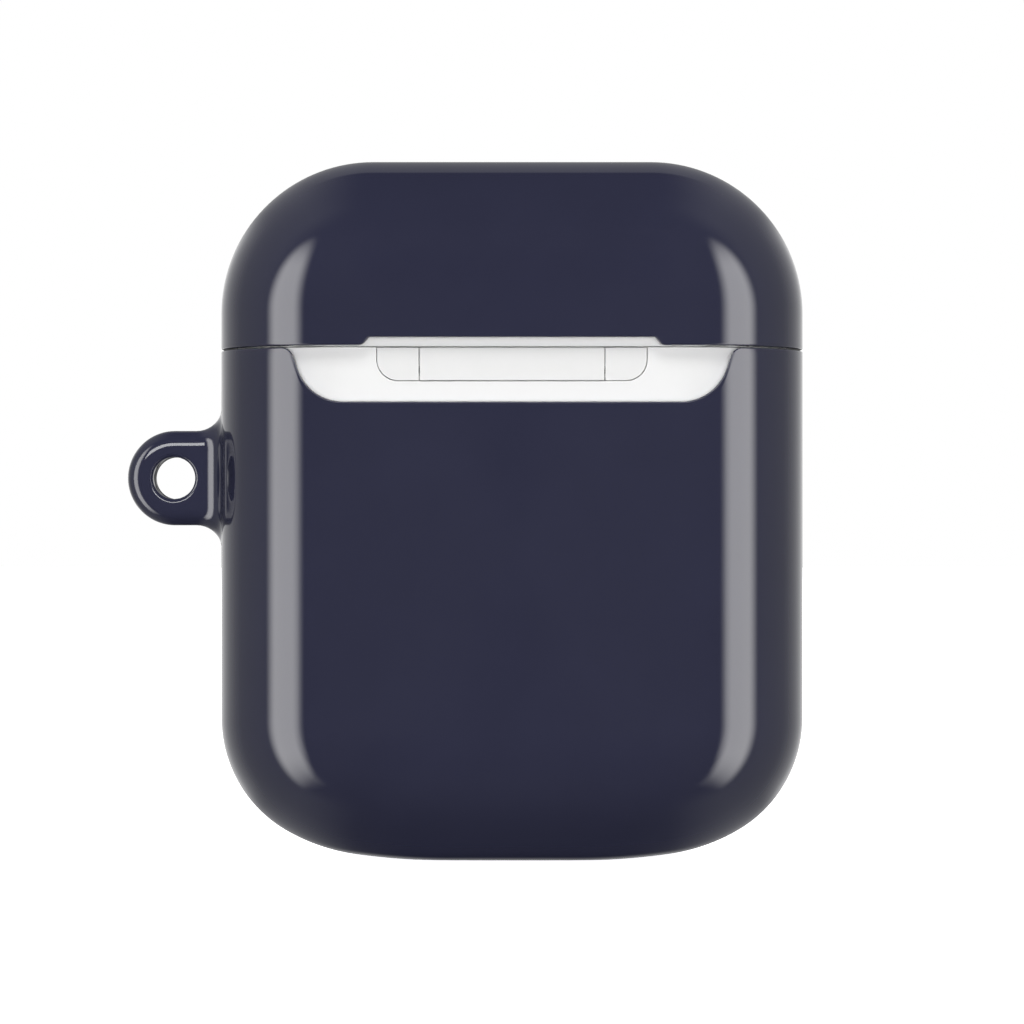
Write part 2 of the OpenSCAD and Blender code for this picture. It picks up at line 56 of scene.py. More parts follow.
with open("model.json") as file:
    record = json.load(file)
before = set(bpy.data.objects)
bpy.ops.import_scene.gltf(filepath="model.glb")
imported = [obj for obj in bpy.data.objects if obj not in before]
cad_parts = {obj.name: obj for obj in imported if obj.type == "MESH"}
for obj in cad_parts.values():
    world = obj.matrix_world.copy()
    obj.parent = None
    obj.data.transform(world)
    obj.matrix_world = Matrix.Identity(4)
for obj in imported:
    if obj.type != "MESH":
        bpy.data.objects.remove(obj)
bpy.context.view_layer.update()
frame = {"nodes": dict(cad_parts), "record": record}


def box_mm(node):
    """Lowest and highest corner of a CAD node, in millimetres."""
    lo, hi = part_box(node)
    return np.array(lo) / MM, np.array(hi) / MM


# ---------------------------------------------------------------- the case's form
SEAM = box_mm("base_cover")[1][2]
lid_lo, lid_hi = box_mm("lid_cover")
LID_Z = lid_lo[2]
WIDTH = 2 * lid_hi[0]
DEPTH = 2 * lid_hi[1]
HEIGHT = lid_hi[2]

# the form is a rounded section of radius EDGE_R, swept round a core outline that lies inside
EDGE_R = 10.5
STRAIGHT = DEPTH / 2 - EDGE_R
WALL = 1.25
TOP_R = 12.3
FOOT_CUT = 0.1
TOP_C = (WIDTH / 2 - TOP_R, HEIGHT - TOP_R)

# the foot seen from behind: a flat middle, a wide belly arc, a blend arc and the corner arc
BLEND_R = 15.5
BELLY_R = 55.0
BELLY_A = math.radians(8)
BLEND_A = math.radians(30)
CORNER_X = WIDTH / 2 - EDGE_R
BLEND_X = CORNER_X - (BLEND_R - EDGE_R) * math.sin(BLEND_A)
BELLY_X = BLEND_X - (BELLY_R - BLEND_R) * math.sin(BELLY_A)
BELLY_Z = BELLY_R - FOOT_CUT
BLEND_Z = BELLY_Z - (BELLY_R - BLEND_R) * math.cos(BELLY_A)
CORNER_Z = BLEND_Z - (BLEND_R - EDGE_R) * math.cos(BLEND_A)

# lengths along the horizontal section's outline, from the middle of the back
FLAT = CORNER_X
ARC = EDGE_R * math.pi / 2
SIDE = FLAT + ARC + STRAIGHT
LOOP = 4 * SIDE

# keyring lug: a plate with a round end, its rim rounded by LUG_EDGE
LUG_X = WIDTH / 2 + 3.85
LUG_Z = 30.85
LUG_R = 3.83
LUG_T = 4.0
LUG_EDGE = 1.33
HOLE_R = 1.7
HOLE_EDGE = 0.34


def section(u, t):
    """x and y of the side's section at arc length u from the middle of the side, at depth t."""
    e = EDGE_R - t
    phi = max(abs(u) - STRAIGHT, 0.0) / EDGE_R
    y = min(abs(u), STRAIGHT) + e * math.sin(phi)
    return CORNER_X + e * math.cos(phi), math.copysign(y, u)


def around(w, t):
    """x and y of the horizontal section's outline at length w from the middle of the back."""
    w = w % LOOP
    mirror = w > LOOP / 2
    if mirror:
        w = LOOP - w
    if w < FLAT:
        x, y = w, DEPTH / 2 - t
    elif w > 2 * SIDE - FLAT:
        x, y = 2 * SIDE - w, t - DEPTH / 2
    else:
        x, y = section(SIDE - w, t)
    return (-x if mirror else x), y


def back_length(x):
    """Length along the outline from the middle of the back to the point at x."""
    if x <= FLAT:
        return x
    return FLAT + EDGE_R * math.asin(min((x - FLAT) / EDGE_R, 1.0))


def rounded(points, radii, step):
    """The polyline with its inner corners rounded to the given radii."""
    out = [np.array(points[0], float)]
    for a, b, c, r in zip(points, points[1:], points[2:], radii):
        a, b, c = (np.array(p, float) for p in (a, b, c))
        d0 = (b - a) / np.linalg.norm(b - a)
        d1 = (c - b) / np.linalg.norm(c - b)
        turn = math.acos(max(-1.0, min(1.0, float(d0 @ d1))))
        cut = r * math.tan(turn / 2)
        side = math.copysign(1.0, d0[0] * d1[1] - d0[1] * d1[0])
        centre = b - d0 * cut + side * r * np.array((-d0[1], d0[0]))
        start = b - d0 * cut - centre
        n = max(4, round(turn * r / step))
        for i in range(n + 1):
            g = side * turn * i / n
            s, k = math.sin(g), math.cos(g)
            out.append(centre + np.array((start[0] * k - start[1] * s, start[0] * s + start[1] * k)))
    out.append(np.array(points[-1], float))
    return np.array(out)


def spread(a, b, step):
    """Evenly spaced values from a to b, both included, about step apart."""
    return list(np.linspace(a, b, max(1, round(abs(b - a) / step)) + 1))


def quarter(n):
    """Sine and cosine of n steps from 0 to 90 degrees."""
    return [(math.sin(i * math.pi / 2 / n), math.cos(i * math.pi / 2 / n)) for i in range(n + 1)]


WELD_GAP = 2e-6
SHARP_ANGLE = math.radians(50)


class Patches:
    """Grids of points that become one welded mesh."""

    def __init__(self):
        self.points = []
        self.faces = []

    def grid(self, rows, wrap=False, skip=None):
        """Quads between rows of points; skip(i, j) leaves a cell out."""
        base = len(self.points)
        n = len(rows[0])
        for row in rows:
            self.points.extend(row)
        for i in range(len(rows) - 1):
            for j in range(n if wrap else n - 1):
                if skip and skip(i, j):
                    continue
                k = (j + 1) % n
                a, b = base + i * n, base + (i + 1) * n
                self.faces.append((a + j, a + k, b + k, b + j))

    def fan(self, centre, ring):
        """Triangles from a closed ring to its middle."""
        base = len(self.points)
        self.points.append(centre)
        self.points.extend(ring)
        n = len(ring)
        for j in range(n):
            self.faces.append((base, base + 1 + j, base + 1 + (j + 1) % n))

    def build(self, name):
        """Makes the object: welded, with its normals outward and smooth."""
        bm = bmesh.new()
        verts = [bm.verts.new(Vector([float(c) * MM for c in p])) for p in self.points]
        for face in self.faces:
            bm.faces.new([verts[i] for i in face])
        bmesh.ops.remove_doubles(bm, verts=bm.verts, dist=WELD_GAP)
        bmesh.ops.dissolve_degenerate(bm, edges=bm.edges, dist=1e-7)
        bmesh.ops.recalc_face_normals(bm, faces=bm.faces)
        for f in bm.faces:
            f.smooth = True
        mesh = bpy.data.meshes.new(name)
        bm.to_mesh(mesh)
        bm.free()
        mesh.set_sharp_from_angle(angle=SHARP_ANGLE)
        obj = bpy.data.objects.new(name, mesh)
        bpy.context.scene.collection.objects.link(obj)
        return obj


# ---------------------------------------------------------------- cover halves
# the cut-out's walls pass straight through along Y where the surface faces the back; reach,
# the cosine of the turn from the side, fades this out over FADE_WIDTH and ends it at FADE_END
COS_LIMIT = 0.98
FADE_WIDTH = 0.25
FADE_END = 0.78


class Half:
    """One half of the cover: a cup with the case's rounded section, open at its rim.

    cross holds the nodes across the closed end, right half, from the side to the middle:
    (x, z) of the core outline and the outward direction there.
    """

    def __init__(self, cross, rim, up, wall, body_rows, top_rows, side_nodes):
        self.cross = cross + [(-x, z, -nx, nz) for x, z, nx, nz in reversed(cross[:-1])]
        self.rim = rim
        self.up = up
        self.wall = wall
        self.body_rows = body_rows
        self.top_rows = top_rows
        back, front = side_nodes
        self.us = [-u for u in reversed(front)] + back[1:]
        xs = sorted({round(x, 9) for x, _, _, _ in cross})
        half = xs + [SIDE - u for u in reversed(back[:-1])]
        half += [SIDE + u for u in front[1:]] + [2 * SIDE - x for x in reversed(xs[:-1])]
        self.loop = half + [LOOP - w for w in reversed(half[1:-1])]
        self.core = {round(x, 9): z for x, z, _, _ in cross}

    def core_z(self, w):
        """Height of the closed end's core outline below or above a column."""
        x, _ = around(w, 0)
        key = round(min(abs(x), FLAT), 9)
        near = min(self.core, key=lambda k: abs(k - key))
        return self.core[near]

    def through(self, w, t, part):
        """Length at depth t of the point straight behind w, so that cuts pass straight through."""
        far = min(w % LOOP, LOOP - w % LOOP)
        reach = math.cos(max(SIDE - far - STRAIGHT, 0.0) / EDGE_R)
        deep = reach * EDGE_R / (EDGE_R - t)
        if far < FLAT or far > SIDE - STRAIGHT or deep > COS_LIMIT:
            return w
        fade = max(0.0, min(1.0, (FADE_END - reach) / FADE_WIDTH)) * part
        turn = (math.acos(reach) - math.acos(deep)) * EDGE_R * fade
        return w + turn if w % LOOP < LOOP / 2 else w - turn

    def rim_frame(self):
        """Rim point and in-surface direction towards the opening, for each column."""
        pts = [(w, self.rim(min(w, LOOP - w))) for w in self.loop]
        n = len(pts)
        out = []
        for k in range(n):
            w0, z0 = pts[k - 1]
            w1, z1 = pts[(k + 1) % n]
            dw = (w1 - w0) % LOOP
            dz = z1 - z0
            length = math.hypot(dw, dz)
            out.append((pts[k][0], pts[k][1], -dz / length * self.up, dw / length * self.up))
        return out

    def wall_rows(self, t, edge):
        """Rows of the straight zone at depth t, from the closed end to the rim's rounding."""
        rows = []
        frames = self.rim_frame()
        rows.append([(*around(w, t), self.core_z(w)) for w in self.loop])
        for z in self.body_rows:
            rows.append([(*around(w, t), z) for w in self.loop])
        start = self.body_rows[-1]
        for f in self.top_rows:
            row = []
            for w, z, bw, bz in frames:
                top = z - edge * bz
                shift = -edge * bw * f ** 4
                row.append((*around(self.through(w + shift, t, f), t), start + f * (top - start)))
            rows.append(row)
        return rows

    def rim_rows(self, outer, inner):
        """Rows that roll over the rim from the outer surface to the inner one."""
        profile = [(outer * (s - 1), outer * (1 - c)) for s, c in quarter(5)]
        profile += [(inner * (c - 1), self.wall - inner + inner * s) for s, c in quarter(4)]
        frames = self.rim_frame()
        rows = []
        for b, t in profile:
            row = []
            for w, z, bw, bz in frames:
                row.append((*around(self.through(w + b * bw, t, 1.0), t), z + b * bz))
            rows.append(row)
        return rows

    def end_rows(self, t, low=None):
        """Rows across the closed end at depth t, one for each cross node."""
        rows = []
        for cx, cz, nx, nz in self.cross:
            row = []
            for u in self.us:
                x, y = section(u, t)
                a = x - CORNER_X
                z = cz + nz * a
                row.append((cx + nx * a, y, z if low is None else max(z, low)))
            rows.append(row)
        return rows


def cross_node(cx, cz, angle, sign):
    """Cross node at an angle from the vertical; sign is -1 for the bottom and 1 for the top."""
    return (cx, cz, math.sin(angle), sign * math.cos(angle))


# spacing of the cross nodes: angles on the arcs, lengths on the flat middle
CORNER_STEP = 0.05
BLEND_STEP = 0.036
BELLY_STEP = 0.013
TOP_STEP = 0.045
FLAT_STEP = 0.7


def bottom_cross():
    """Nodes from the side, round the bottom corner, to the middle of the bottom."""
    nodes = []
    for a in spread(math.pi / 2, BLEND_A, CORNER_STEP)[:-1]:
        nodes.append(cross_node(CORNER_X, CORNER_Z, a, -1))
    for a in spread(BLEND_A, BELLY_A, BLEND_STEP)[:-1]:
        r = BLEND_R - EDGE_R
        nodes.append(cross_node(BLEND_X + r * math.sin(a), BLEND_Z - r * math.cos(a), a, -1))
    for a in spread(BELLY_A, 0.0, BELLY_STEP):
        r = BELLY_R - EDGE_R
        nodes.append(cross_node(BELLY_X + r * math.sin(a), BELLY_Z - r * math.cos(a), a, -1))
    for x in spread(BELLY_X, 0.0, FLAT_STEP)[1:]:
        nodes.append(cross_node(x, BELLY_Z - BELLY_R + EDGE_R, 0.0, -1))
    return nodes


def top_cross(notch_x):
    """Nodes from the side, round the top corner, to the middle of the top.

    notch_x are the places of the notch's outline, so that columns run there.
    """
    nodes = []
    r = TOP_R - EDGE_R
    for a in spread(math.pi / 2, 0.0, TOP_STEP):
        nodes.append(cross_node(TOP_C[0] + r * math.sin(a), TOP_C[1] + r * math.cos(a), a, 1))
    dense = [x for x in notch_x if x < TOP_C[0] - 0.02]
    for x in reversed(spread(0.0, dense[0] - 0.3, FLAT_STEP) + dense):
        nodes.append(cross_node(x, TOP_C[1] + r, 0.0, 1))
    return nodes


# block of cells on the side that the lug takes the place of
BLOCK_U = 5.0
BLOCK_COLS = 16
BLOCK_ROWS = 20
BLOCK_Z = (23.2, 38.5)


def side_u(first):
    """Section nodes from the middle of the side outwards; first lists those near the face."""
    middle = list(np.linspace(0, BLOCK_U, BLOCK_COLS // 2 + 1))
    last = first[-1]
    return middle + spread(BLOCK_U, last, 0.55)[1:] + list(reversed(first[:-1]))


# hinge cut-out in the lower half: a flat bottom, round corners and leaning sides
CUT_CX = 13.25
CUT_Z = 36.76
CUT_R = 3.8
CUT_TOP_R = 1.0
PAST_CUT = 22.0
LEAN = math.radians(20)
tangent = np.array((CUT_CX + CUT_R * math.cos(LEAN), CUT_Z + CUT_R - CUT_R * math.sin(LEAN)))


def lean_x(z):
    """x of the cut-out's leaning side at height z."""
    return tangent[0] + (z - tangent[1]) * math.tan(LEAN)


cut_corners = [(0, CUT_Z), (lean_x(CUT_Z), CUT_Z), (lean_x(SEAM), SEAM), (PAST_CUT, SEAM)]
cut_line = rounded(cut_corners, [CUT_R, CUT_TOP_R], 0.22)
cut_w = [back_length(x) for x, _ in cut_line[:-1]] + [SIDE]
cut_z = [z for _, z in cut_line]


def base_rim(w):
    """Height of the lower half's rim at length w from the middle of the back."""
    return float(np.interp(w, cut_w, cut_z))


# shallow notch in the upper half
NOTCH_Z = LID_Z + 0.63
NOTCH_X = 11.22
NOTCH_FOOT_X = 11.74
PAST_NOTCH = 15.0
notch_corners = [(0, NOTCH_Z), (NOTCH_X, NOTCH_Z), (NOTCH_FOOT_X, LID_Z), (PAST_NOTCH, LID_Z)]
notch_line = rounded(notch_corners, [0.12, 0.7], 0.06)


def lid_rim(w):
    """Height of the upper half's rim at length w from the middle of the back."""
    return float(np.interp(w, notch_line[:, 0], notch_line[:, 1]))


# columns on the side of the lower half: dense where the cut-out's outline runs
lean_nodes = []
for w0, w1 in zip(cut_w[1:-2], cut_w[2:-1]):
    lean_nodes += spread(w0, w1, 0.25)[:-1]
lean_nodes.append(cut_w[-2])
base_first = [SIDE - FLAT] + [SIDE - w for w in lean_nodes if w > FLAT + 0.05]
plain_side = side_u(spread(SIDE - FLAT, SIDE - FLAT - 3, 0.5))
base_sides = (side_u(base_first), plain_side)
lid_sides = (plain_side, plain_side)

# rows of the lower half: the block's rows end at its top, and a few more reach the rim
RIM_ROOM = 0.18
top_step = (BLOCK_Z[1] - BLOCK_Z[0]) / (SEAM - RIM_ROOM - BLOCK_Z[0])
base_tops = list(np.linspace(0, top_step, BLOCK_ROWS + 1))[1:] + list(np.linspace(top_step, 1, 5))[1:]
base_half = Half(bottom_cross(), base_rim, 1, WALL, [14.0, 17.0, 20.0, BLOCK_Z[0]], base_tops, base_sides)
lid_nodes = top_cross(list(notch_line[1:-1, 0]))
lid_half = Half(lid_nodes, lid_rim, -1, WALL, [43.4, 42.6], [0.4, 0.75, 1.0], lid_sides)


# ---------------------------------------------------------------- slot in the bottom
SLOT = (11.2, 5.2)
SLOT_EDGE = 0.35
SLOT_INNER_EDGE = 0.1


def bottom_z(x, y, t):
    """Height of the bottom's surface at depth t, near the middle."""
    e = EDGE_R - t
    a = math.sqrt(1 - (max(abs(y) - STRAIGHT, 0.0) / e) ** 2)
    rho = BELLY_R - EDGE_R + e * a
    z = BELLY_Z - math.sqrt(rho ** 2 - max(abs(x) - BELLY_X, 0.0) ** 2)
    return max(z, 0.0)


def stadium(w, t, x, y):
    """Point of a slot's outline, w long and t wide, on the ray from the middle through x, y."""
    c = (w - t) / 2
    angle = math.atan2(abs(y) / t, abs(x) / w)
    dx, dy = math.cos(angle) * w, math.sin(angle) * t
    length = math.hypot(dx, dy)
    dx, dy = dx / length, dy / length
    k = t / 2 / dy if dy > 1e-9 else 1e9
    if dx * k > c:
        k = dx * c + math.sqrt((t / 2) ** 2 - (dy * c) ** 2)
    return math.copysign(dx * k, x), math.copysign(dy * k, y)


def boundary(i0, i1, j0, j1):
    """Grid indices round the edge of a block of cells, in order."""
    out = [(i, j0) for i in range(i0, i1)]
    out += [(i1, j) for j in range(j0, j1)]
    out += [(i, j1) for i in range(i1, i0, -1)]
    out += [(i0, j) for j in range(j1, j0, -1)]
    return out


def cut_slot(patches, half, width, thick):
    """Closed end of a half with a slot through its middle, rounded at its outer edge."""
    outer = half.end_rows(0, 0.0)
    inner = half.end_rows(half.wall)
    mid = len(outer) // 2
    i0 = max(i for i in range(mid) if outer[i][len(half.us) // 2][0] > width / 2 + 1.6)
    i1 = 2 * mid - i0
    js = [j for j, u in enumerate(half.us) if abs(u) < thick / 2 + 1.5]
    j0, j1 = js[0], js[-1]
    ring = boundary(i0, i1, j0, j1)
    for rows in (outer, inner):
        patches.grid(rows, skip=lambda i, j: i0 <= i < i1 and j0 <= j < j1)
    loops = []
    edge, inner_edge = SLOT_EDGE, SLOT_INNER_EDGE
    for rows, t, grow in ((outer, 0.0, edge), (inner, half.wall, inner_edge)):
        part = []
        for k in range(5):
            row = []
            for i, j in ring:
                p = rows[i][j]
                sx, sy = stadium(width + 2 * grow, thick + 2 * grow, outer[i][j][0], outer[i][j][1])
                x = p[0] + (sx - p[0]) * k / 4
                y = p[1] + (sy - p[1]) * k / 4
                row.append(p if k == 0 else (x, y, bottom_z(x, y, t)))
            part.append(row)
        loops.append(part)
    wall = []
    ends = [(outer[i][j][0], outer[i][j][1]) for i, j in ring]
    for s, c in quarter(5):
        row = []
        for x, y in ends:
            grow = edge * (1 - s)
            sx, sy = stadium(width + 2 * grow, thick + 2 * grow, x, y)
            ex, ey = stadium(width + 2 * edge, thick + 2 * edge, x, y)
            row.append((sx, sy, bottom_z(ex, ey, 0.0) + edge * (1 - c)))
        wall.append(row)
    for s, c in quarter(3):
        row = []
        for x, y in ends:
            grow = inner_edge * (1 - c)
            sx, sy = stadium(width + 2 * grow, thick + 2 * grow, x, y)
            ex, ey = stadium(width + 2 * inner_edge, thick + 2 * inner_edge, x, y)
            row.append((sx, sy, bottom_z(ex, ey, half.wall) - inner_edge * (1 - s)))
        wall.append(row)
    patches.grid(loops[0], wrap=True)
    patches.grid(loops[1], wrap=True)
    patches.grid(wall, wrap=True)


# ---------------------------------------------------------------- keyring lug
def plate_profile():
    """Points across the lug's edge from the back face to the front face: y, distance out."""
    half = LUG_T / 2
    inner = LUG_R - LUG_EDGE
    arc = [(half - LUG_EDGE + LUG_EDGE * c, inner + LUG_EDGE * s) for s, c in quarter(6)]
    flat = [(y, LUG_R) for y in np.linspace(half - LUG_EDGE, LUG_EDGE - half, 5)[1:-1]]
    return arc + flat + [(-y, r) for y, r in reversed(arc)]


def plate_loop():
    """Closed loop round the lug's root: y, z and outward direction, from the back face's foot."""
    half = LUG_T / 2
    inner = LUG_R - LUG_EDGE
    prof = plate_profile()
    out = [((half, z), (1.0, 0.0)) for z in np.linspace(-inner, inner, BLOCK_ROWS + 1)[:-1]]
    normals = []
    for y, r in prof:
        centre_y = max(min(y, half - LUG_EDGE), LUG_EDGE - half)
        d = np.array((y - centre_y, r - inner))
        if abs(y) < half - LUG_EDGE:
            d = np.array((0.0, 1.0))
        normals.append(d / np.linalg.norm(d))
    out += [((y, r), (n[0], n[1])) for (y, r), n in zip(prof[:-1], normals[:-1])]
    out += [((-half, z), (-1.0, 0.0)) for z in np.linspace(inner, -inner, BLOCK_ROWS + 1)[:-1]]
    out += [((y, -r), (n[0], -n[1])) for (y, r), n in reversed(list(zip(prof[1:], normals[1:])))]
    return out


# fillet at the lug's root, a little larger at its ends
FILLET_R = 2.0
FILLET_GROW = 0.1
FILLET_STEPS = 10
JOIN_STEPS = 6
LUG_ARC_STEPS = 40
NECK_PARTS = (0.0, 0.33, 0.66)


def root_fillet(y, z, ny, nz):
    """Rolling-ball fillet between the lug and the side: its rows of points, plate end first."""
    r = FILLET_R + FILLET_GROW * abs(nz)
    cy = y + r * ny
    cz = z + r * nz
    over = max(abs(cy) - STRAIGHT, 0.0)
    reach = EDGE_R + r
    cx = CORNER_X + math.sqrt(reach ** 2 - over ** 2)
    n0 = np.array((0.0, -ny, -nz))
    n1 = -np.array(((cx - CORNER_X) / reach, math.copysign(over / reach, cy), 0.0))
    angle = math.acos(float(n0 @ n1))
    centre = np.array((cx, cy, cz))
    out = []
    for k in range(FILLET_STEPS + 1):
        g = k / FILLET_STEPS
        d = (math.sin((1 - g) * angle) * n0 + math.sin(g * angle) * n1) / math.sin(angle)
        out.append(centre + r * d)
    return out


def surface_u(y):
    """Arc length from the middle of the side to the point at y."""
    over = max(abs(y) - STRAIGHT, 0.0)
    return math.copysign(min(abs(y), STRAIGHT) + EDGE_R * math.asin(over / EDGE_R), y)


def add_lug(patches, outer_rows, first_row, first_col):
    """Lug with its fillets, joined to the block of cells left out of the side."""
    loop = plate_loop()
    fillets = [root_fillet(y, z, ny, nz) for (y, z), (ny, nz) in loop]
    last_row, last_col = first_row + BLOCK_ROWS, first_col + BLOCK_COLS
    # columns run from the back to the front, so the block's back edge is its first column
    ring = [(i, first_col) for i in range(first_row, last_row)]
    ring += [(last_row, j) for j in range(first_col, last_col)]
    ring += [(i, last_col) for i in range(last_row, first_row, -1)]
    ring += [(first_row, j) for j in range(last_col, first_col, -1)]
    rows = []
    for k in range(JOIN_STEPS + 1):
        g = k / JOIN_STEPS
        row = []
        for (i, j), f in zip(ring, fillets):
            p = outer_rows[i][j]
            foot = f[-1]
            u = surface_u(p[1]) * (1 - g) + surface_u(foot[1]) * g
            z = p[2] * (1 - g) + (foot[2] + LUG_Z) * g
            row.append(p if k == 0 else (*section(u, 0), z))
        rows.append(row)
    for k in range(FILLET_STEPS - 1, -1, -1):
        rows.append([(f[k][0], f[k][1], f[k][2] + LUG_Z) for f in fillets])
    patches.grid(rows, wrap=True)
    # edge band: along the top, round the end, back along the bottom
    prof = plate_profile()
    starts = [f[0][0] for f in fillets[BLOCK_ROWS:BLOCK_ROWS + len(prof)]]
    band = []
    for g in NECK_PARTS:
        band.append([(x + (LUG_X - x) * g, y, LUG_Z + r) for x, (y, r) in zip(starts, prof)])
    for k in range(LUG_ARC_STEPS + 1):
        a = math.pi * k / LUG_ARC_STEPS
        band.append([(LUG_X + r * math.sin(a), y, LUG_Z + r * math.cos(a)) for y, r in prof])
    for g in reversed(NECK_PARTS):
        band.append([(x + (LUG_X - x) * g, y, LUG_Z - r) for x, (y, r) in zip(starts, prof)])
    patches.grid(band)
    # the two faces, each from its outline to the hole
    half = LUG_T / 2
    inner = LUG_R - LUG_EDGE
    neck = fillets[0][0][0]
    outline = [(row[0][0], row[0][2] - LUG_Z) for row in band]
    outline += [(neck, z) for z in np.linspace(-inner, inner, BLOCK_ROWS + 1)[1:-1]]
    hole = []
    for x, z in outline:
        a = math.atan2(z, x - LUG_X)
        hole.append((math.cos(a), math.sin(a)))
    sides = []
    for sign in (1, -1):
        face = []
        wide = HOLE_R + HOLE_EDGE
        for k in range(4):
            g = k / 3
            face.append([(x + (LUG_X + c * wide - x) * g, sign * half, LUG_Z + z + (s * wide - z) * g)
                for (x, z), (c, s) in zip(outline, hole)])
        for s, c in quarter(5)[1:]:
            r = wide - HOLE_EDGE * s
            y = sign * (half - HOLE_EDGE * (1 - c))
            face.append([(LUG_X + hc * r, y, LUG_Z + hs * r) for hc, hs in hole])
        patches.grid(face, wrap=True)
        sides.append(face[-1])
    patches.grid([sides[0], [(a[0], 0.0, a[2]) for a in sides[0]], sides[1]], wrap=True)


# rounding of the rims: outer edge, inner edge
BASE_RIM = (0.1, 0.12)
LID_RIM = (0.15, 0.12)


def add_walls(patches, half, rim, skip=None):
    """Outer wall, rolled rim and inner wall of a half; returns the outer wall's rows."""
    outer = half.wall_rows(0.0, rim[0])
    patches.grid(outer, wrap=True, skip=skip)
    patches.grid(half.rim_rows(*rim), wrap=True)
    patches.grid(half.wall_rows(WALL, rim[1]), wrap=True)
    return outer


def make_base_cover():
    """Lower half of the cover, with the hinge cut-out, the lug and the charging slot."""
    patches = Patches()
    half = base_half
    first_row = len(half.body_rows)
    first_col = half.loop.index(min(half.loop, key=lambda w: abs(w - (SIDE - BLOCK_U))))
    outer = add_walls(patches, half, BASE_RIM, lambda i, j: first_row <= i < first_row + BLOCK_ROWS
        and first_col <= j < first_col + BLOCK_COLS)
    cut_slot(patches, half, *SLOT)
    add_lug(patches, outer, first_row, first_col)
    return patches.build("cover_base")


def make_lid_cover():
    """Upper half of the cover, with the notch over the hinge."""
    patches = Patches()
    half = lid_half
    add_walls(patches, half, LID_RIM)
    patches.grid(half.end_rows(0.0))
    patches.grid(half.end_rows(WALL))
    return patches.build("cover_lid")


cover_base = make_base_cover()
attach(cover_base, "base_cover")
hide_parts("base_cover")
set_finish(cover_base, "cover")
cover_lid = make_lid_cover()
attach(cover_lid, "lid_cover")
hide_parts("lid_cover")
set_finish(cover_lid, "cover")


# ---------------------------------------------------------------- inner liners
DECK_TOP = box_mm("base_liner")[1][2]
DECK_LOW = DECK_TOP - 1.5
LID_DECK = (LID_Z + 0.1, LID_Z + 1.3)
LINER_IN = 2.6

# earbud wells: a funnel for the head, a bore for the stem and two pin holes in the floor
WELL = (10.0, -0.6)
WELL_WALL = 0.9
STEM_R = 3.4
HEAD_R = 7.4
CONE_Z = 33.8
WELL_Z = 12.0
SEAT_H = 0.6
SEAT_W = 0.4
FLOOR_R = 2.1
PIN_X = 1.1
PIN_R = 0.52
DOME_Z = 43.0
DOME_WALL = 0.8
DOME_LIP = 0.6
POLE_R = 0.4

# notches for the hinge: half width and y; their sides lean out by DRAFT
BASE_NOTCH = (11.02, 7.8)
LID_NOTCH = (7.57, 8.1)
DRAFT = 0.25

# hole for the light pipe; SHARP is its share of the deck's rounding
LIGHT_Y = 2.0
LIGHT_R = 0.92
SHARP = 0.001
SHOWN_EDGE = 0.35
HIDDEN_EDGE = 0.1


def deck_outline(notch_x, notch_y, hole):
    """Outline of the deck's right half, from the front's middle round to the back and home.

    The third value of each point is its share of the rounding: 1 at the rim, SHARP at the
    light's hole and 0 on the middle line, where the two halves meet without an edge.
    """
    half_y = DEPTH / 2 - LINER_IN
    e = EDGE_R - LINER_IN
    pts = [(x, -half_y, 1) for x in spread(0.0, FLAT, 1.0)]
    for sign, angles in ((-1, spread(-90, 0, 7.5)[1:]), (1, spread(0, 90, 7.5))):
        for a in angles:
            g = math.radians(a)
            pts.append((CORNER_X + e * math.cos(g), sign * STRAIGHT + e * math.sin(g), 1))
    corners = [(FLAT, half_y), (notch_x + DRAFT, half_y), (notch_x, notch_y), (0, notch_y)]
    shape = rounded(corners, [0.4, 0.4], 0.2)
    pts += [(x, y, 1) for x, y in shape[1:-1]]
    pts += [(x, notch_y, 1) for x in spread(shape[-2][0], 0.0, 1.0)[1:]]
    if hole:
        # the hole's arc starts where a ray from the well's axis touches it
        rise = LIGHT_Y - WELL[1]
        touch = math.atan2(rise, WELL[0]) + math.asin(LIGHT_R / math.hypot(rise, WELL[0]))
        peak = LIGHT_Y + LIGHT_R / math.cos(touch) + 0.02
        pts += [(0.0, y, 0) for y in spread(notch_y, peak, 1.0)[1:-1]]
        pts.append((0.0, peak, SHARP))
        for g in spread(touch, math.pi, 0.26):
            pts.append((LIGHT_R * math.sin(g), LIGHT_Y + LIGHT_R * math.cos(g), SHARP))
        pts += [(0.0, y, 0) for y in spread(LIGHT_Y - LIGHT_R, -half_y, 1.0)[1:-1]]
    else:
        pts += [(0.0, y, 0) for y in spread(notch_y, -half_y, 1.0)[1:-1]]
    return pts


def well_rays(outline):
    """Direction and distance from the well's axis to each point of the outline."""
    rays = []
    for x, y, edge in outline:
        dx, dy = x - WELL[0], y - WELL[1]
        d = math.hypot(dx, dy)
        rays.append((dx / d, dy / d, d, edge))
    return rays


def on_middle(dx, d):
    """Whether a ray of length d ends on the case's middle plane."""
    return abs(WELL[0] + dx * d) < 1e-6


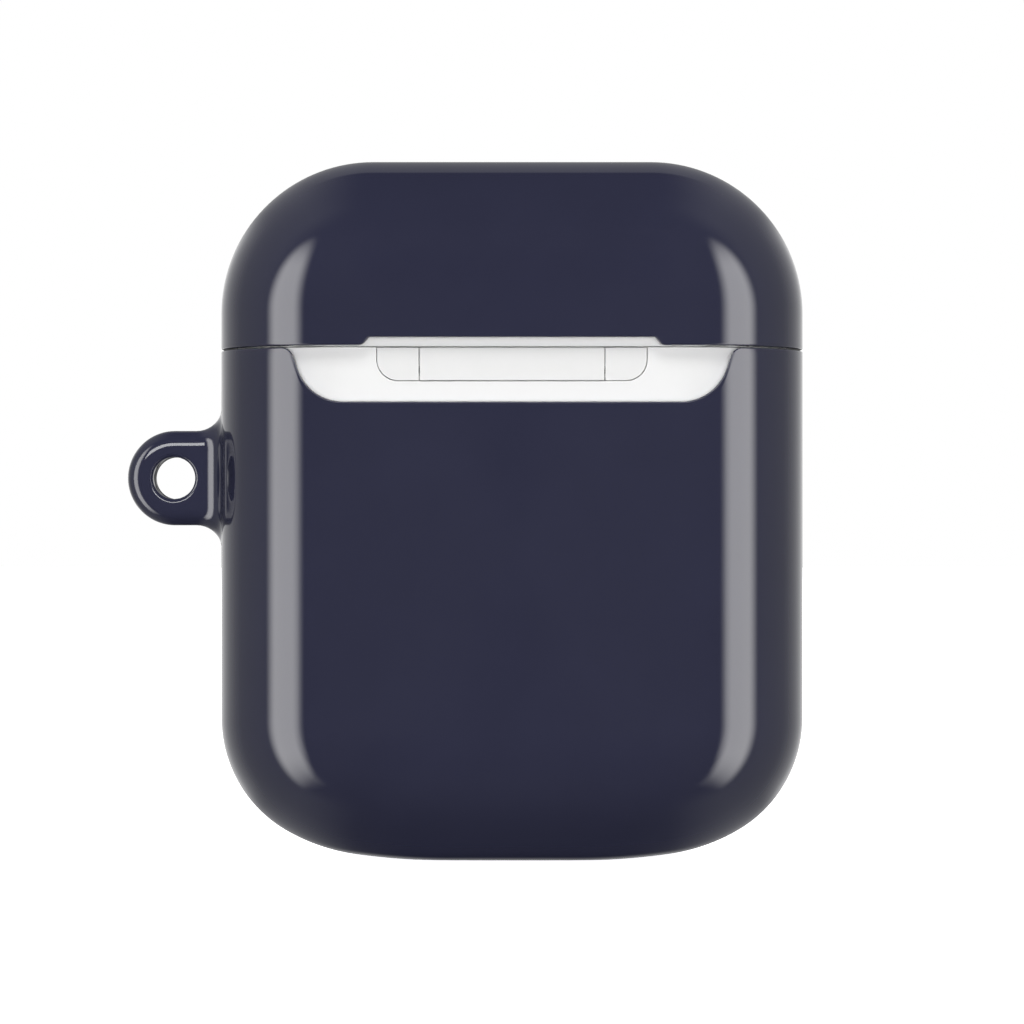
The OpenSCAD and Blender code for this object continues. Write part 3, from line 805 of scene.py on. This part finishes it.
def deck_sheet(rays, profile, z, down, edge, side):
    """Rows from the deck's edge in to a profile turned round the well's axis.

    down is -1 where the sheet faces up and 1 where it faces down; edge rounds its outer rim.
    """
    rows = []
    for s, c in quarter(4):
        row = []
        for dx, dy, d, k in rays:
            r = d - edge * k * (1 - c)
            x = WELL[0] + dx * (d if on_middle(dx, d) else r)
            row.append((side * x, WELL[1] + dy * r, z + down * edge * k * (1 - s)))
        rows.append(row)
    first = profile[0][0]
    for g in (0.15, 0.35, 0.6, 0.85):
        row = []
        for dx, dy, d, k in rays:
            e = d - edge * k
            r = e + (first - e) * g
            x = WELL[0] + dx * (d + (first - d) * g if on_middle(dx, d) else r)
            row.append((side * x, WELL[1] + dy * r, z))
        rows.append(row)
    for r, h in profile:
        rows.append([(side * (WELL[0] + dx * r), WELL[1] + dy * r, h) for dx, dy, d, k in rays])
    return rows


def smooth_profile(points, radii, step):
    """Rounded profile as (radius, z) pairs."""
    return [tuple(p) for p in rounded(points, radii, step)]


def pin_floor(patches, centre, upper, lower):
    """Floor of a well with two holes for its contact pins, between two like rings of points."""
    def nearest(sign):
        """Index of the ring's point in line with the centre, in front of it or behind it."""
        return min((k for k, p in enumerate(upper) if (p[1] - centre[1]) * sign > 0),
            key=lambda k: abs(upper[k][0] - centre[0]))

    first, last, n = nearest(1), nearest(-1), len(upper)
    for a, b in ((first, last), (last, first)):
        picks = [(a + k) % n for k in range((b - a) % n + 1)]
        middle = upper[picks[len(picks) // 2]]
        pin = centre[0] + math.copysign(PIN_X, middle[0] - centre[0])
        holes = []
        for ring in (upper, lower):
            loop = [ring[k] for k in picks]
            start, end = np.array(loop[-1], float), np.array(loop[0], float)
            loop += [tuple(start + (end - start) * g) for g in (0.2, 0.4, 0.6, 0.8)]
            hole = []
            for x, y, z in loop:
                turn = math.atan2(y - centre[1], x - pin)
                hole.append((pin + PIN_R * math.cos(turn), centre[1] + PIN_R * math.sin(turn), z))
            patches.grid([loop, hole], wrap=True)
            holes.append(hole)
        patches.grid(holes, wrap=True)


def make_liner(name, outline, z_top, z_low, shown, hidden, up):
    """A deck with two pockets: shown and hidden are the profiles of its two sides."""
    patches = Patches()
    rays = well_rays(outline)
    for side in (1, -1):
        a = deck_sheet(rays, shown, z_top if up else z_low, -1 if up else 1, SHOWN_EDGE, side)
        b = deck_sheet(rays, hidden, z_low if up else z_top, 1 if up else -1, HIDDEN_EDGE, side)
        patches.grid(a, wrap=True)
        patches.grid(b, wrap=True)
        edge_cells = [k for _, _, _, k in rays]
        n = len(rays)
        patches.grid([a[0], b[0]], wrap=True,
            skip=lambda i, j: edge_cells[j] == 0 or edge_cells[(j + 1) % n] == 0)
        centre = (side * WELL[0], WELL[1])
        if up:
            pin_floor(patches, centre, a[-1], b[-1])
            continue
        for rows in (a, b):
            patches.fan((*centre, rows[-1][0][2]), rows[-1])
    return patches.build(name)


def make_base_liner():
    """Lower liner: a deck with two funnels that lead into the stem wells."""
    seat_r, seat_z = STEM_R - SEAT_W, WELL_Z + SEAT_H
    stem, head = STEM_R + WELL_WALL, HEAD_R + WELL_WALL
    shown = smooth_profile([(HEAD_R + 0.9, DECK_TOP), (HEAD_R, DECK_TOP), (STEM_R, CONE_Z),
        (STEM_R, seat_z), (seat_r, seat_z), (seat_r, WELL_Z), (FLOOR_R, WELL_Z)],
        [1.1, 2.2, 0.2, 0.1, 0.3], 0.3)
    hidden = smooth_profile([(head + 0.3, DECK_LOW), (head - 1.0, DECK_LOW),
        (stem, CONE_Z), (stem, WELL_Z - 1), (FLOOR_R, WELL_Z - 1)],
        [0.2, 2.0, 0.4], 0.4)
    outline = deck_outline(*BASE_NOTCH, True)
    return make_liner("liner_base", outline, DECK_TOP, DECK_LOW, shown, hidden, True)


def dome_profile(r, z, lip):
    """Profile of a round-topped pocket of radius r above the deck at z, with a rounded mouth."""
    out = [(r + lip * (1 - s), z + lip * (1 - c)) for s, c in quarter(5)]
    out += [(r * c, DOME_Z + r * s) for s, c in quarter(14)]
    return [(max(a, POLE_R), b) for a, b in out]


def make_lid_liner():
    """Upper liner: a deck with two domes over the heads of the earbuds."""
    low, top = LID_DECK
    shown = dome_profile(HEAD_R, low, DOME_LIP)
    outer = HEAD_R + DOME_WALL
    hidden = [(outer, top)] + [(max(outer * c, POLE_R), DOME_Z + outer * s) for s, c in quarter(14)]
    outline = deck_outline(*LID_NOTCH, False)
    return make_liner("liner_lid", outline, top, low, shown, hidden, False)


liners = ((make_base_liner(), "case_base", "base_liner"), (make_lid_liner(), "lid", "lid_liner"))
for obj, body, cad in liners:
    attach(obj, body)
    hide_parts(cad)
    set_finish(obj, "liner")


# ---------------------------------------------------------------- softened edges of the CAD nodes
def soften(obj, width, swell=0.0):
    """Welds a CAD node's mesh, merges its flat faces, swells it a little and rounds its edges."""
    weld = obj.modifiers.new("weld", "WELD")
    weld.merge_threshold = 1e-6
    flat = obj.modifiers.new("flat", "DECIMATE")
    flat.decimate_type = "DISSOLVE"
    flat.angle_limit = math.radians(0.6)
    if swell:
        grow = obj.modifiers.new("swell", "DISPLACE")
        grow.mid_level = 0.0
        grow.strength = swell * MM
    bevel = obj.modifiers.new("edges", "BEVEL")
    bevel.width = width * MM
    bevel.segments = 2
    bevel.limit_method = "ANGLE"
    bevel.angle_limit = math.radians(32)
    bevel.miter_outer = "MITER_ARC"
    bevel.use_clamp_overlap = True
    normals = obj.modifiers.new("normals", "WEIGHTED_NORMAL")
    normals.keep_sharp = True
    normals.weight = 80


# width of each node's rounded edges
SOFT = {
    "base_shell": 0.07, "lid_shell": 0.1, "hinge_base_leaf": 0.09, "hinge_lid_leaf": 0.08,
    "hinge_pin": 0.05, "hinge_screws": 0.06, "detent_spring": 0.03, "base_magnets": 0.12,
    "lid_magnets": 0.12, "battery": 0.35, "battery_pad": 0.15, "main_board": 0.08,
    "board_chips": 0.08, "board_screws": 0.06, "charging_port": 0.06, "port_tongue": 0.08,
    "contact_blocks": 0.12, "left_contact_pins": 0.04, "right_contact_pins": 0.04,
    "setup_button": 0.25, "button_switch": 0.1, "switch_board": 0.08, "flex_cable": 0.03,
    "status_led": 0.1, "light_pipe": 0.1, "lid_sensor": 0.08, "lid_cover_tape": 0.01,
}
# growth that sets the gap lines round the hinge's plates; the button shrinks to keep its gap
SWELL = {"base_shell": 0.035, "lid_shell": 0.03, "hinge_lid_leaf": 0.015, "setup_button": -0.03}
for cad, width in SOFT.items():
    soften(frame["nodes"][cad], width, SWELL.get(cad, 0.0))


# ---------------------------------------------------------------- materials
def fine_noise(nodes, links, scale, detail):
    """Noise over the object's own coordinates; scale counts features per metre."""
    coords = nodes.new("ShaderNodeTexCoord")
    noise = nodes.new("ShaderNodeTexNoise")
    noise.inputs["Scale"].default_value = scale
    noise.inputs["Detail"].default_value = detail
    noise.inputs["Roughness"].default_value = 0.55
    links.new(coords.outputs["Object"], noise.inputs["Vector"])
    return noise


def material(name, colour, rough, *, vary=0.03, rough_vary=0.05, scale=300.0, bump=0.0, bump_scale=2500.0,
        metal=0.0, coat=0.0, specular=0.5, transmission=0.0, ior=1.45, subsurface=0.0):
    """A finish made of nodes: slight changes of shade and gloss, and a fine surface."""
    mat = bpy.data.materials.new(name)
    mat.use_nodes = True
    nodes, links = mat.node_tree.nodes, mat.node_tree.links
    shader = nodes["Principled BSDF"]
    shader.inputs["Metallic"].default_value = metal
    shader.inputs["Coat Weight"].default_value = coat
    shader.inputs["Coat Roughness"].default_value = 0.03
    shader.inputs["Specular IOR Level"].default_value = specular
    shader.inputs["IOR"].default_value = ior
    shader.inputs["Transmission Weight"].default_value = transmission
    if subsurface:
        shader.inputs["Subsurface Weight"].default_value = subsurface
        shader.inputs["Subsurface Radius"].default_value = (0.001, 0.001, 0.001)
        shader.inputs["Subsurface Scale"].default_value = 0.4
    noise = fine_noise(nodes, links, scale, 4.0)
    ramp = nodes.new("ShaderNodeValToRGB")
    for k, f in ((0, 1 - vary), (1, 1 + vary)):
        ramp.color_ramp.elements[k].color = [min(c * f, 1.0) for c in colour] + [1.0]
    ramp.color_ramp.elements[0].position = 0.35
    ramp.color_ramp.elements[1].position = 0.65
    links.new(noise.outputs["Fac"], ramp.inputs["Fac"])
    links.new(ramp.outputs["Color"], shader.inputs["Base Color"])
    spread_rough = nodes.new("ShaderNodeMapRange")
    spread_rough.inputs["From Min"].default_value = 0.3
    spread_rough.inputs["From Max"].default_value = 0.7
    spread_rough.inputs["To Min"].default_value = rough * (1 - rough_vary)
    spread_rough.inputs["To Max"].default_value = rough * (1 + rough_vary)
    links.new(noise.outputs["Fac"], spread_rough.inputs["Value"])
    links.new(spread_rough.outputs["Result"], shader.inputs["Roughness"])
    if bump:
        grain = fine_noise(nodes, links, bump_scale, 3.0)
        lift = nodes.new("ShaderNodeBump")
        lift.inputs["Strength"].default_value = bump
        lift.inputs["Distance"].default_value = 0.00003
        links.new(grain.outputs["Fac"], lift.inputs["Height"])
        links.new(lift.outputs["Normal"], shader.inputs["Normal"])
    return mat


FINISH = {
    "cover": material("cover_navy", (0.0285, 0.0298, 0.0562), 0.05, vary=0.03, rough_vary=0.15, scale=120.0),
    "tape": material("tape_film", (0.62, 0.62, 0.6), 0.5, bump=0.2),
    "shell": material("shell_white", (0.88, 0.88, 0.875), 0.34, vary=0.006, scale=120.0, specular=0.4),
    "liner": material("liner_white", (0.84, 0.84, 0.835), 0.3, vary=0.004, rough_vary=0.02, scale=900.0),
    "hinge_plate": material("hinge_coat", (0.82, 0.82, 0.815), 0.34, vary=0.01, bump=0.1, bump_scale=6000.0),
    "steel": material("steel_bare", (0.55, 0.55, 0.56), 0.26, metal=1.0, vary=0.05, bump=0.15),
    "magnet": material("magnet_nickel", (0.5, 0.49, 0.47), 0.2, metal=1.0, vary=0.04),
    "battery": material("battery_foil", (0.4, 0.41, 0.43), 0.4, metal=0.7, vary=0.06, bump=0.5,
        bump_scale=900.0),
    "foam": material("foam_dark", (0.035, 0.035, 0.037), 0.9, vary=0.2, bump=0.9, bump_scale=5000.0),
    "board": material("board_green", (0.012, 0.09, 0.04), 0.35, vary=0.12, scale=900.0, bump=0.15),
    "chip": material("chip_epoxy", (0.018, 0.018, 0.02), 0.5, vary=0.1, bump=0.3),
    "gold": material("contact_gold", (0.83, 0.6, 0.24), 0.2, metal=1.0, vary=0.03),
    "flex": material("flex_amber", (0.42, 0.2, 0.05), 0.3, vary=0.08, coat=0.3, bump=0.1),
    "led": material("led_lens", (0.8, 0.8, 0.72), 0.2, vary=0.02, subsurface=0.3),
    "light_pipe": material("pipe_clear", (0.9, 0.93, 0.93), 0.08, vary=0.01, transmission=0.85, ior=1.49),
}
slot_of = {row["node"]: row["material_slot"] for row in frame["record"]["subparts"]}
for cad, obj in frame["nodes"].items():
    obj.data.materials.clear()
    obj.data.materials.append(FINISH[slot_of[cad]])
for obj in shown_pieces():
    if "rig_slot" in obj:
        obj.data.materials.clear()
        obj.data.materials.append(FINISH[obj["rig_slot"]])


# ---------------------------------------------------------------- stage, light and camera
# lengths from here on are metres
def sheet(name, size, location, normal, mat):
    """A flat stage panel facing along normal."""
    w, h = size[0] / 2, size[1] / 2
    mesh = bpy.data.meshes.new(name)
    mesh.from_pydata([(-w, -h, 0), (w, -h, 0), (w, h, 0), (-w, h, 0)], [], [(0, 1, 2, 3)])
    mesh.materials.append(mat)
    obj = bpy.data.objects.new(name, mesh)
    obj.rotation_mode = "QUATERNION"
    obj.rotation_quaternion = Vector(normal).to_track_quat("Z", "Y")
    obj.location = location
    bpy.context.scene.collection.objects.link(obj)
    return obj


class Net:
    """Short names for building a small node network."""

    def __init__(self, name):
        self.mat = bpy.data.materials.new(name)
        self.mat.use_nodes = True
        self.nodes = self.mat.node_tree.nodes
        self.links = self.mat.node_tree.links
        self.nodes.clear()

    def feed(self, node, index, value):
        """Sets a number on the socket itself and links anything else."""
        if isinstance(value, (int, float)):
            node.inputs[index].default_value = value
        else:
            self.links.new(value, node.inputs[index])

    def maths(self, operation, first, second=0.0):
        """Output of one maths node."""
        node = self.nodes.new("ShaderNodeMath")
        node.operation = operation
        self.feed(node, 0, first)
        self.feed(node, 1, second)
        return node.outputs[0]

    def ramp(self, value, start, end, low, high, smooth=True):
        """low at start, high at end, held level outside."""
        node = self.nodes.new("ShaderNodeMapRange")
        node.interpolation_type = "SMOOTHSTEP" if smooth else "LINEAR"
        self.links.new(value, node.inputs["Value"])
        node.inputs["From Min"].default_value = start
        node.inputs["From Max"].default_value = end
        node.inputs["To Min"].default_value = low
        node.inputs["To Max"].default_value = high
        return node.outputs["Result"]

    def place(self):
        """The x, y and z of a point of the object itself."""
        coords = self.nodes.new("ShaderNodeTexCoord")
        split = self.nodes.new("ShaderNodeSeparateXYZ")
        self.links.new(coords.outputs["Object"], split.inputs["Vector"])
        return split.outputs["X"], split.outputs["Y"], split.outputs["Z"]

    def emit(self, colour, strength, clear=False):
        """Light-giving surface; clear ones add their light to what is behind them."""
        out = self.nodes.new("ShaderNodeOutputMaterial")
        glow = self.nodes.new("ShaderNodeEmission")
        glow.inputs["Color"].default_value = (*colour, 1.0)
        self.links.new(strength, glow.inputs["Strength"])
        surface = glow.outputs["Emission"]
        if clear:
            both = self.nodes.new("ShaderNodeAddShader")
            self.links.new(surface, both.inputs[0])
            self.links.new(self.nodes.new("ShaderNodeBsdfTransparent").outputs["BSDF"], both.inputs[1])
            surface = both.outputs["Shader"]
        self.links.new(surface, out.inputs["Surface"])
        return self.mat


def softbox_light(side, strength):
    """A tall panel that fades towards its edges and leans to the camera's side at the top."""
    net = Net("softbox_light")
    x, y, _ = net.place()
    rise = net.maths("POWER", net.maths("MAXIMUM", y, 0.0), 2.0)
    fall = net.maths("POWER", net.maths("MAXIMUM", net.maths("MULTIPLY", y, -1.0), 0.0), 2.0)
    lean = net.maths("ADD", net.maths("MULTIPLY", rise, 0.12), net.maths("MULTIPLY", fall, 0.06))
    narrow = net.maths("MULTIPLY", rise, 0.24)
    across = net.maths("SUBTRACT", net.maths("MULTIPLY", x, -side), lean)
    off = net.maths("ADD", net.maths("ABSOLUTE", across), narrow)
    wide = net.ramp(off, 0.11, 0.29, strength, 0.0)
    upper = net.ramp(y, 0.38, 0.92, 1.0, 0.0)
    lower = net.ramp(y, -0.35, -1.25, 1.0, 0.0)
    tall = net.maths("MULTIPLY", upper, lower)
    return net.emit((1.0, 0.99, 0.985), net.maths("MULTIPLY", wide, tall), True)


def room_light():
    """Pale to the left, right and back, dark in front, and dark straight above and below."""
    net = Net("room_light")
    x, y, z = net.place()
    tilt = net.maths("ARCTAN2", net.maths("ABSOLUTE", z), net.maths("ABSOLUTE", x))
    beside = net.ramp(y, 0.45, 0.1, 0.06, 0.46)
    behind = net.ramp(y, -0.4, -1.0, 0.0, 0.54, False)
    behind = net.maths("MULTIPLY", behind, net.ramp(tilt, 0.55, 0.8, 1.0, -0.1))
    level = net.ramp(tilt, 0.95, 1.5, 1.0, 0.0)
    level = net.maths("MULTIPLY", level, net.ramp(y, -0.972, -0.992, 1.0, 0.1))
    main = net.maths("MULTIPLY", net.maths("ADD", beside, behind), level)
    top = net.maths("MULTIPLY", net.ramp(y, -0.585, -0.635, 0.0, 0.27), net.maths("GREATER_THAN", z, 0.0))
    grazing = net.ramp(tilt, 1.05, 1.45, 0.0, 1.0)
    top = net.maths("MULTIPLY", top, grazing)
    low = net.maths("MULTIPLY", net.ramp(y, -0.84, -0.97, 0.0, 0.4), net.maths("LESS_THAN", z, 0.0))
    low = net.maths("MULTIPLY", low, grazing)
    rims = net.maths("ADD", top, low)
    return net.emit((1.0, 1.0, 1.0), net.maths("ADD", main, rims))


floor_mat = material("floor_pale", (0.9, 0.9, 0.9), 0.85, vary=0.004, rough_vary=0.02, scale=6.0,
    specular=0.1)
floor_shader = floor_mat.node_tree.nodes["Principled BSDF"]
floor_shader.inputs["Emission Color"].default_value = (1.0, 1.0, 1.0, 1.0)
floor_shader.inputs["Emission Strength"].default_value = 1.0
floor = sheet("floor", (3.4, 3.4), (0, 0, -0.00002), (0, 0, 1), floor_mat)
floor.visible_glossy = False
floor.visible_diffuse = False
floor.visible_shadow = False


def make_room(radius):
    """Sphere of soft surroundings that only reflections and diffuse light see."""
    mat = room_light()
    sphere = bmesh.new()
    bmesh.ops.create_icosphere(sphere, subdivisions=4, radius=1.0)
    mesh = bpy.data.meshes.new("room")
    sphere.to_mesh(mesh)
    sphere.free()
    mesh.materials.append(mat)
    obj = bpy.data.objects.new("room", mesh)
    obj.scale = (radius, radius, radius)
    bpy.context.scene.collection.objects.link(obj)
    obj.visible_camera = False
    obj.visible_shadow = False
    obj.visible_transmission = False


make_room(2.5)
# the point that the lights and the camera are placed round
middle = Vector((0.0, 0.0, 0.0281))
SOFTBOX_TURN = math.radians(59.5)
SOFTBOX_SIZE = (1.1, 2.5)
SOFTBOX_FAR = 0.8
SOFTBOX_POWER = 7.4
for side, name in ((-1, "softbox_left"), (1, "softbox_right")):
    d = Vector((side * math.sin(SOFTBOX_TURN), math.cos(SOFTBOX_TURN), 0.0))
    light = softbox_light(side, SOFTBOX_POWER)
    panel = sheet(name, SOFTBOX_SIZE, middle + d * SOFTBOX_FAR, -d, light)
    panel.visible_camera = False
    panel.visible_diffuse = False
    panel.visible_shadow = False


def area(name, direction, size, power, distance=1.2):
    """Soft area light that lights the object without showing in its gloss."""
    data = bpy.data.lights.new(name, "AREA")
    data.shape = "RECTANGLE"
    data.size, data.size_y = size
    data.energy = power
    obj = bpy.data.objects.new(name, data)
    d = Vector(direction).normalized()
    obj.location = middle + d * distance
    obj.rotation_mode = "QUATERNION"
    obj.rotation_quaternion = d.to_track_quat("Z", "Y")
    obj.visible_glossy = False
    bpy.context.scene.collection.objects.link(obj)
    return obj


def shine_on(light, objects):
    """Lets a light reach only the given objects."""
    group = bpy.data.collections.new("lit_by_" + light.name)
    for obj in objects:
        group.objects.link(obj)
    light.light_linking.receiver_collection = group


covers = [bpy.data.objects["cover_base"], bpy.data.objects["cover_lid"]]
others = [obj for obj in bpy.data.objects if obj.type == "MESH" and obj not in covers]
shine_on(area("key", (0.0, 0.7, 0.72), (0.8, 0.5), 14.2), covers)
shine_on(area("bounce", (0.0, 0.6, -0.8), (1.2, 0.8), 9.8), covers)
shine_on(area("white_key", (0.0, 0.7, 0.72), (0.5, 0.5), 5.3), others)
shine_on(area("white_fill", (0.0, 1.0, -0.02), (0.45, 0.35), 10.2), others)
area("back", (0.0, -0.85, 0.5), (1.2, 0.8), 8.0)
# one light that does show in the gloss of the lower half: the fine lines on the lug
accent = area("accent", (0.0, 0.92, 0.39), (1.1, 0.24), 9.5, 1.0)
accent.visible_glossy = True
accent.visible_diffuse = False
shine_on(accent, covers[:1])

world = bpy.data.worlds.new("studio")
bpy.context.scene.world = world
world.use_nodes = True
background = world.node_tree.nodes["Background"]
background.inputs["Color"].default_value = (1.0, 1.0, 1.0, 1.0)
background.inputs["Strength"].default_value = 1.0
world.cycles_visibility.diffuse = False
world.cycles_visibility.glossy = False

# the photograph's view: level, straight at the back
CAMERA_FAR = 0.327
camera_data = bpy.data.cameras.new("camera")
camera_data.lens = 141.3
camera_data.sensor_width = 36.0
camera_data.clip_start = 0.01
camera_data.clip_end = 30.0
camera = bpy.data.objects.new("camera", camera_data)
camera.location = middle + Vector((0.0, CAMERA_FAR, 0.0))
camera.rotation_mode = "QUATERNION"
camera.rotation_quaternion = Vector((0, 1, 0)).to_track_quat("Z", "Y")
bpy.context.scene.collection.objects.link(camera)
bpy.context.scene.camera = camera
bpy.context.scene.view_settings.view_transform = "Standard"
